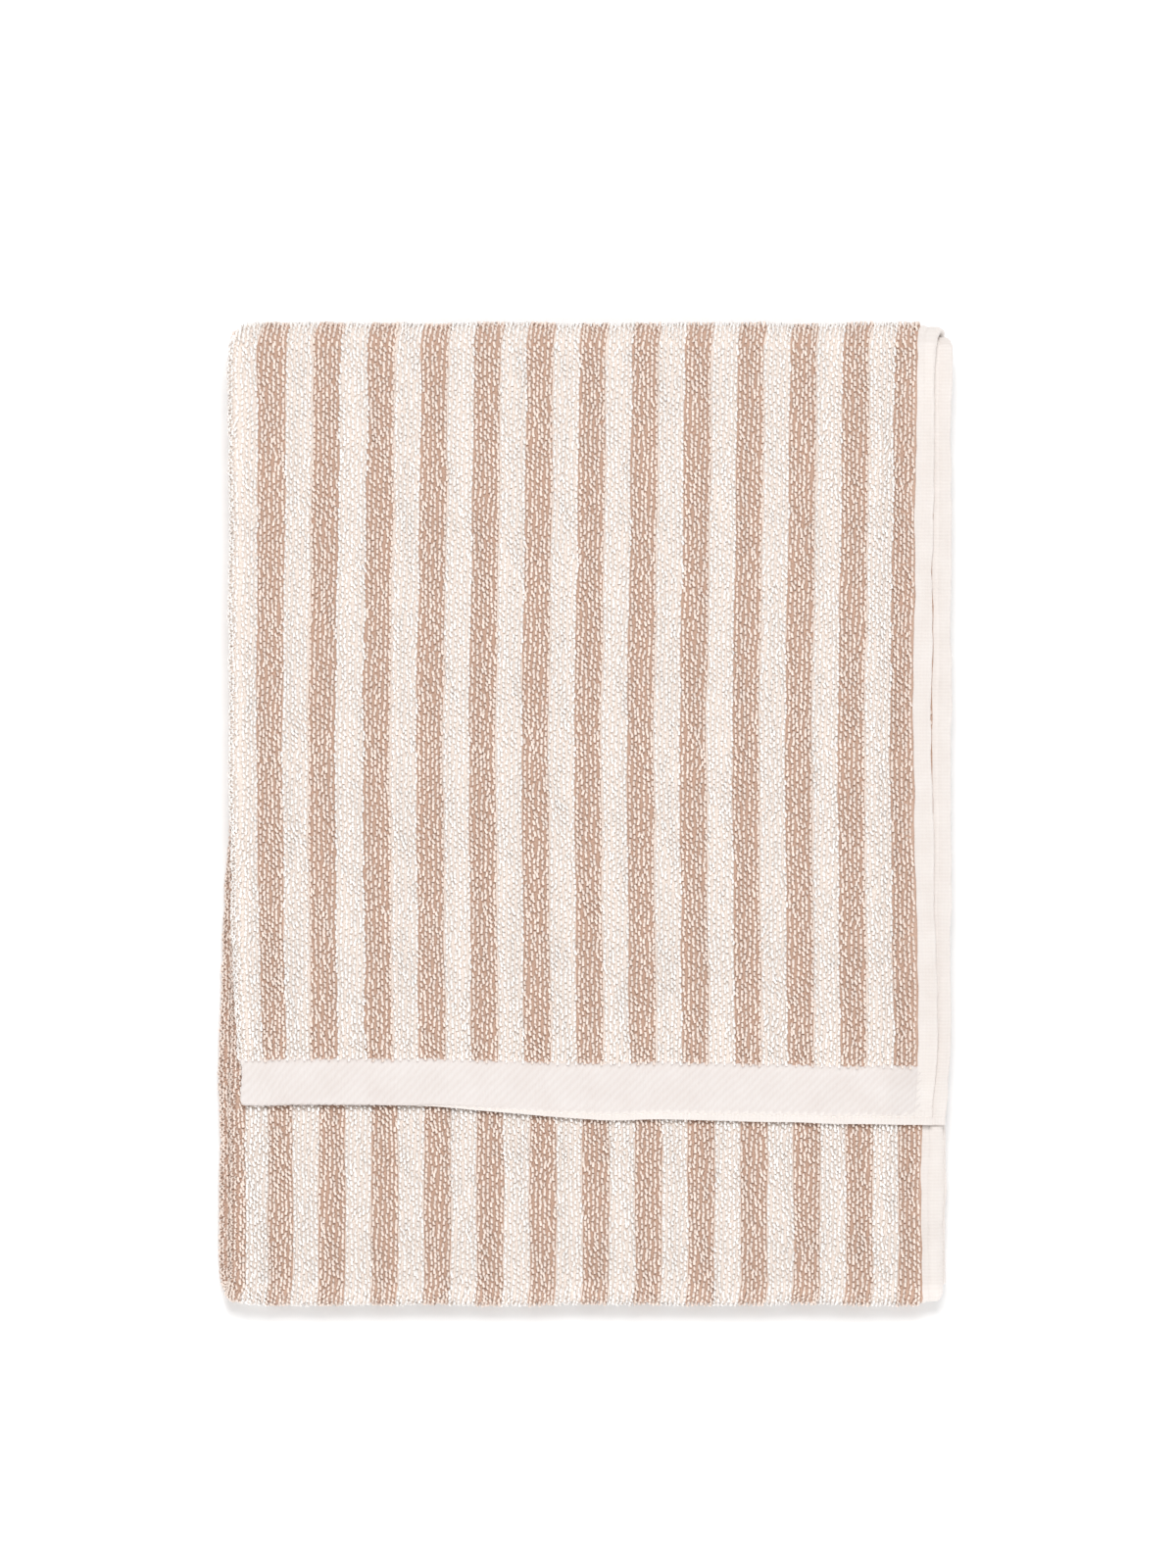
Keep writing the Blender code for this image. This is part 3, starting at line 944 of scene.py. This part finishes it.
def layer_sheet(name, layer, c, y, half, material, places=None):
    """A sheet of the cloth at c and y, half thick on either side of the cloth's middle."""
    outer, inner = laid_on(layer, c, y, half)[0], laid_on(layer, c, y, -half)[0]
    return with_cloth_places(slab(name, outer, inner, material), *(places or (c, v_of(layer, y))))


def ground_sheet(name, layer, y_low, y_high):
    rows = np.linspace(y_low, y_high, round((y_high - y_low) / GRID_STEP) + 1)
    c, y = np.meshgrid(c_samples(layer), rows)
    return layer_sheet(name, layer, c, y, np.full(c.shape, GROUND_HALF), GROUND,
                       (dyed(layer, c), v_of(layer, y)))


def ground_fold(name, fold, is_outer):
    """The outer sheet of a fold, with the turn on the left, or its inner sheet."""
    samples = c_samples(fold.below)
    past_turn = path_of(fold.below, samples) - fold.below.lower_run - math.pi * fold.below.radius
    samples = samples[past_turn < 1e-7] if is_outer else samples[past_turn > -1e-7]
    c, share = np.meshgrid(samples, FOLD_STEPS)
    outer, inner = (settle(around(fold, c, share, lift)[0]) for lift in (GROUND_HALF, -GROUND_HALF))
    dyed_c = (1 - share) * dyed(fold.below, c) + share * dyed(fold.above, c)
    return with_cloth_places(slab(name, outer, inner, GROUND), dyed_c,
                             v_of(fold.below, fold.y) + share * FOLD_CLOTH)


GROUNDS = {"base": ground_sheet("base_ground", BASE, BOTTOM.y, BASE.y_high),
           "middle": ground_sheet("middle_ground", MIDDLE, BOTTOM.y, TOP.y),
           "flap": ground_sheet("flap_ground", FLAP, TERRY_END_Y, TOP.y)}
FOLD_GROUNDS = {(fold.name, kind): ground_fold(f"{fold.name}_{kind}_ground", fold, kind == "outer")
                for fold in (BOTTOM, TOP) for kind in ("outer", "inner")}
print("ground quads", sum(len(obj.data.polygons) for obj in GROUNDS.values()))

# %% [markdown]
# # Long hems
# Each long edge is the selvedge turned on itself: a flat band without pile, 6 mm wide, rounded along
# its outer edge and pressed in a little where the seam holds it. It is thinner than the terry, so the
# pile stands above it. Its section is the same all along, so it is a slab whose thickness depends on
# how far across the band a column lies.

# %% Section of a hem
HEM_HALF, END_HEM_HALF = 0.00138, 0.0011
HEM_TUCK = 0.0007  # how far the band reaches under the pile
EDGE_ROUND = 0.0011


def rounded_edge(from_edge, least):
    """Share of the full thickness at a distance from an edge that is a quarter circle."""
    return np.sqrt(np.clip(1 - (1 - np.clip(from_edge / EDGE_ROUND, 0, 1)) ** 2, least, 1))


def band_half(from_edge, width, most=HEM_HALF):
    """Half the band's thickness at a distance from its outer edge."""
    rounded = rounded_edge(from_edge, 0.0016)
    seam = np.exp(-((from_edge - width + 0.0014) / 0.00045) ** 2)
    ridge = np.exp(-((from_edge - 0.0021) / 0.0004) ** 2)
    return most * (rounded - 0.22 * seam + 0.04 * ridge)


def band_steps(width):
    near_edge = np.array([0.0, 0.00006, 0.0002, 0.00045, 0.0008])
    return np.concatenate([near_edge, np.linspace(0.0011, width, 13)])


HEM_STEPS = band_steps(SIDE_HEM + HEM_TUCK)


def long_hem(name, layer, side, y_low, y_high):
    """side is -1 or +1, for the hem at -25 or +25 cm."""
    c = side * (HALF_WIDTH - HEM_STEPS)
    rows = np.linspace(y_low, y_high, round((y_high - y_low) / 0.004) + 1)
    c, y = np.meshgrid(c, rows)
    half = np.broadcast_to(band_half(HEM_STEPS, SIDE_HEM), c.shape)
    return layer_sheet(name, layer, c, y, half, SELVEDGE)


def long_hem_fold(name, fold, side):
    c, share = np.meshgrid(side * (HALF_WIDTH - HEM_STEPS), FOLD_STEPS)
    half = band_half(HEM_STEPS, SIDE_HEM)
    points, out = around(fold, c, share)
    outer, inner = settle(points + out * half[None, :, None]), settle(points - out * half[None, :, None])
    return with_cloth_places(slab(name, outer, inner, SELVEDGE), c,
                             v_of(fold.below, fold.y) + share * FOLD_CLOTH)


INTO_END_HEM = 0.002
HEM_END = {"base": (BOTTOM.y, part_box("base_border")[1].y + INTO_END_HEM), "middle": (BOTTOM.y, TOP.y),
           "flap": (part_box("flap_border")[0].y - INTO_END_HEM, TOP.y)}
HEMS = {}
for layer in (BASE, MIDDLE, FLAP):
    for side in (-1, 1):
        sheet_name = f"{layer.name}_{'upper' if (side > 0) != layer.reversed else 'lower'}"
        HEMS[f"{sheet_name}_side_hem"] = long_hem(f"{sheet_name}_hem_band", layer, side,
                                                  *HEM_END[layer.name])
FOLD_HEMS = {}
for fold in (BOTTOM, TOP):
    for side in (-1, 1):
        # The cloth that is outside the fold comes from the lower sheet of the layer below.
        kind = "outer" if (side < 0) != fold.below.reversed else "inner"
        FOLD_HEMS[fold.name, kind] = long_hem_fold(f"{fold.name}_{kind}_hem_band", fold, side)
print("long hems", sorted(HEMS), sorted(FOLD_HEMS))

# %% [markdown]
# # Borders
# Each end of a terry towel has a band without pile, so that the end hem folds flat. Here it is 18 mm
# of twill, with faint ribs that rise to the right, about 3 mm apart. They repeat over the whole band,
# so a second tree pushes the band's surface out along them, on a grid fine enough to hold the ribs.

# %% Twill rib tree
RIB_ACROSS, RIB_ALONG, RIB_HEIGHT = 0.0030, 0.0033, 0.00026

rib_tree, given, RIB_INPUT = new_tree("Twill ribs", {
    "Rib height": "Float", "Rib pitch across": "Float", "Rib pitch along": "Float"})
across, along, _ = split(rib_tree, stored(rib_tree, "cloth"))
turns = math_node(rib_tree, "ADD", math_node(rib_tree, "DIVIDE", across, given["Rib pitch across"]),
                  math_node(rib_tree, "DIVIDE", along, given["Rib pitch along"]))
wave = math_node(rib_tree, "COSINE", math_node(rib_tree, "MULTIPLY", turns, 2 * math.pi))
height = math_node(rib_tree, "MULTIPLY", math_node(rib_tree, "MULTIPLY_ADD", wave, 0.5, 0.5),
                   given["Rib height"])
push = scaled(rib_tree, add(rib_tree, "GeometryNodeInputNormal").outputs[0], height)
ribbed = add(rib_tree, "GeometryNodeSetPosition", {0: given["Geometry"], "Offset": push})
end_tree(rib_tree, ribbed.outputs[0], given["Material"])

# %% Borders
BORDER_HALF = 0.0009
BORDER_OVERLAP = 0.0006  # how far the band reaches under the pile and into the hem


def border_of(layer, fine):
    """The band of one end. Its grid is fine on the upper sheet, where the ribs can be seen."""
    low, high = (corner.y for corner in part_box(f"{layer.name}_border"))
    low, high = low - BORDER_OVERLAP, high + BORDER_OVERLAP
    samples = c_samples(layer)
    start = samples[samples <= path_to_c(layer, layer.lower_run + math.pi * layer.radius) + 1e-9]
    upper = np.linspace(start.max(), TERRY_HALF + HEM_TUCK, round((TERRY_HALF - start.max()) / fine))
    rows = np.linspace(low, high, round((high - low) / fine) + 1)
    c, y = np.meshgrid(np.concatenate([start, upper[1:]]), rows)
    band = layer_sheet(f"{layer.name}_twill_band", layer, c, y, np.full(c.shape, BORDER_HALF), TWILL)
    return run_tree(band, rib_tree, RIB_INPUT, {
        "Rib height": RIB_HEIGHT, "Rib pitch across": RIB_ACROSS, "Rib pitch along": RIB_ALONG,
        "Material": TWILL})


BORDERS = {"flap": border_of(FLAP, 0.0008), "base": border_of(BASE, 0.0010)}
print("border quads", {name: len(obj.data.polygons) for name, obj in BORDERS.items()})

# %% [markdown]
# # End hems and their seams
# At each end the border is turned up into a hem 5 mm wide and sewn down with one row of stitches. The
# hem is the same kind of band as the long ones, but runs round the fold on the left. The stitches
# follow a path, so a third tree lays them: it divides the path into stitch lengths and puts a short
# bead of thread on each, sunk at both ends, as a lockstitch is.

# %% End hems
END_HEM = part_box("flap_end_hem")[1].y - FLAP_END_Y
END_STEPS = band_steps(END_HEM + BORDER_OVERLAP)


def hem_samples(layer):
    samples = c_samples(layer)
    return np.concatenate([[-HALF_WIDTH, -HALF_WIDTH + 0.0005, -HALF_WIDTH + 0.002], samples,
                           [HALF_WIDTH - 0.002, HALF_WIDTH - 0.0005, HALF_WIDTH]])


def end_hem_of(layer, end_y, inwards):
    c, step = np.meshgrid(hem_samples(layer), END_STEPS)
    y = end_y + inwards * step
    half = band_half(step, END_HEM, END_HEM_HALF) * rounded_edge(HALF_WIDTH - np.abs(c), 0.01)
    return layer_sheet(f"{layer.name}_end_hem_band", layer, c, y, half, SELVEDGE, (v_of(layer, y), c))


BASE_END_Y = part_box("base_end_hem")[1].y
END_HEMS = {"flap": end_hem_of(FLAP, FLAP_END_Y, 1), "base": end_hem_of(BASE, BASE_END_Y, -1)}

# %% Stitch tree
STITCH_LENGTH, STITCH_GAP, THREAD_HALF = 0.0028, 0.0006, 0.00023

stitch_tree, given, STITCH_INPUT = new_tree("Row of stitches", {
    "Stitch length": "Float", "Gap": "Float", "Half thread": "Float"})
path = add(stitch_tree, "GeometryNodeMeshToCurve", {0: given["Geometry"]}).outputs[0]
even = add(stitch_tree, "GeometryNodeCurveToPoints", {0: path, "Length": given["Stitch length"]},
           mode="LENGTH")
lies = add(stitch_tree, "FunctionNodeAxesToRotation",
           {0: stored(stitch_tree, "out"), 1: even.outputs["Tangent"]},
           primary_axis="Z", secondary_axis="Y")
half_length = math_node(stitch_tree, "MULTIPLY", math_node(
    stitch_tree, "SUBTRACT", given["Stitch length"], given["Gap"]), 0.5)
bead = add(stitch_tree, "GeometryNodeMeshUVSphere", {"Segments": 6, "Rings": 4, "Radius": 1.0})
rounded = add(stitch_tree, "GeometryNodeSetShadeSmooth", {0: bead.outputs[0]})
laid = add(stitch_tree, "GeometryNodeInstanceOnPoints",
           {"Points": even.outputs[0], "Instance": rounded.outputs[0], "Rotation": lies.outputs[0],
            "Scale": joined(stitch_tree, given["Half thread"], half_length, given["Half thread"])})
end_tree(stitch_tree, laid.outputs[0], given["Material"])

# %% Seams of the end hems


def seam_of(layer, end_y, inwards):
    c = np.linspace(-HALF_WIDTH + 0.002, HALF_WIDTH - 0.002, 400)
    from_edge = END_HEM - 0.0014
    y = np.full(c.shape, end_y + inwards * from_edge)
    half = band_half(np.full(c.shape, from_edge), END_HEM, END_HEM_HALF)
    points, out = laid_on(layer, c, y, half + THREAD_HALF * 0.25)
    name = f"{layer.name}_end_stitches"
    mesh = bpy.data.meshes.new(name)
    mesh.from_pydata(points.tolist(), [(i, i + 1) for i in range(len(c) - 1)], [])
    mesh.attributes.new("out", "FLOAT_VECTOR", "POINT").data.foreach_set(
        "vector", out.reshape(-1).astype(np.float32))
    return run_tree(new_object(name, mesh), stitch_tree, STITCH_INPUT, {
        "Stitch length": STITCH_LENGTH, "Gap": STITCH_GAP, "Half thread": THREAD_HALF,
        "Material": THREAD})


SEAMS = {"flap": seam_of(FLAP, FLAP_END_Y, 1), "base": seam_of(BASE, BASE_END_Y, -1)}
print("stitches", {name: len(obj.data.vertices) // 20 for name, obj in SEAMS.items()})

# %% [markdown]
# # Riding on the bodies
# What belongs to one layer rides on that layer's body. What crosses a fold rides on no body. Each
# imported solid is hidden by the finished piece that stands for it. The solids stay in the physics.

# %% Bodies, folds and what each piece stands for


def dress(obj, slot_name, *nodes):
    if nodes:
        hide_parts(*nodes)
    return obj


def bend(obj, fold, kind):
    """Bakes the piece's placement into its mesh, the same for either fold."""
    if fold is TOP:
        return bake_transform(obj)
    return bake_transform(obj)


for body, obj in GROUNDS.items():
    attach(dress(obj, "terry", f"{body}_cloth"), body)
for obj, body in PILES.values():
    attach(dress(obj, "terry"), body)
for node, obj in HEMS.items():
    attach(dress(obj, "flat_weave", node), node.split("_")[0])
for body in ("base", "flap"):
    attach(dress(BORDERS[body], "flat_weave", f"{body}_border"), body)
    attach(dress(END_HEMS[body], "flat_weave", f"{body}_end_hem"), body)
    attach(dress(SEAMS[body], "sewing_thread", f"{body}_end_stitching"), body)
for fold in (BOTTOM, TOP):
    for kind in ("outer", "inner"):
        node = f"{fold.name}_{kind}"
        bend(dress(FOLD_GROUNDS[fold.name, kind], "terry", node), fold, kind)
        bend(dress(FOLD_HEMS[fold.name, kind], "flat_weave", f"{node}_side_hem"), fold, kind)
        bend(dress(FOLD_PILES[fold.name, kind], "terry"), fold, kind)

# %% [markdown]
# The towel is one cloth of 50 by 95 cm, cut by its folds into five stretches. For each layer, the
# pile, hems, borders and seams on it are gathered into a list.


def on_layer(body):
    found = [obj for obj, rides_on in PILES.values() if rides_on == body]
    found += [obj for node, obj in HEMS.items() if node.startswith(body)]
    if body in BORDERS:
        found += [BORDERS[body], END_HEMS[body], SEAMS[body]]
    return found


for body, obj in GROUNDS.items():
    on_layer(body)
# The inner sheet of a fold takes only 6 mm of the cloth, too little for a sheet of its own; it is listed
# with the fold's piles and hems.
for fold in (BOTTOM, TOP):
    parts = [FOLD_GROUNDS[fold.name, "inner"]]
    for kind in ("outer", "inner"):
        parts += [FOLD_PILES[fold.name, kind], FOLD_HEMS[fold.name, kind]]

# %% [markdown]
# # Floor and light
# The floor is matt white, like a sheet of paper on a light table: it gives a little light of its own,
# so it stays white right up to the towel. A broad lamp stands high behind the top end, so the only
# shadow that shows is a short soft one under the bottom edge. Three low lamps brighten the rolled
# sides, which a lamp above would leave dull, and the sky fills in the rest.

# %% Floor
FLOOR_HALF = 6.0
FLOOR_DROP = 0.0004

floor_material = bpy.data.materials.new("Matt white paper")
floor_material.use_nodes = True
paper = {"Base Color": linear("#F2F2F2"), "Roughness": 1.0, "Specular IOR Level": 0.0,
         "Emission Color": linear("#FFFFFF"), "Emission Strength": 0.08}
for name, value in paper.items():
    floor_material.node_tree.nodes["Principled BSDF"].inputs[name].default_value = value
floor_mesh = bpy.data.meshes.new("Floor")
floor_mesh.from_pydata([(FLOOR_HALF * x, FLOOR_HALF * y, CAD_LOW.z - FLOOR_DROP)
                        for x, y in ((-1, -1), (1, -1), (1, 1), (-1, 1))], [], [(0, 1, 2, 3)])
floor_mesh.materials.append(floor_material)
floor = new_object("Floor", floor_mesh)

# %% Light
scene.view_settings.view_transform = "Standard"
world = bpy.data.worlds.new("Soft white room")
world.use_nodes = True
world.node_tree.nodes["Background"].inputs["Color"].default_value = linear("#FFFFFF")
world.node_tree.nodes["Background"].inputs["Strength"].default_value = 0.40
scene.world = world

LAMPS = {  # place, width and watts; each faces the middle of the towel
    "Broad_lamp_behind": ((0.0, 1.35, 2.6), 1.2, 55.0),
    "Low_lamp_in_front": ((0.0, -2.4, 0.75), 1.4, 36.0),
    "Low_lamp_on_the_left": ((-2.4, 0.0, 0.8), 1.2, 19.0),
    "Low_lamp_on_the_right": ((2.4, 0.0, 0.8), 1.2, 13.0),
}
for name, (place, width, watts) in LAMPS.items():
    data = bpy.data.lights.new(name, "AREA")
    data.shape, data.size, data.energy = "DISK", width, watts
    lamp = new_object(name, data)
    lamp.location = place
    lamp.rotation_euler = (-lamp.location).to_track_quat("-Z", "Y").to_euler()
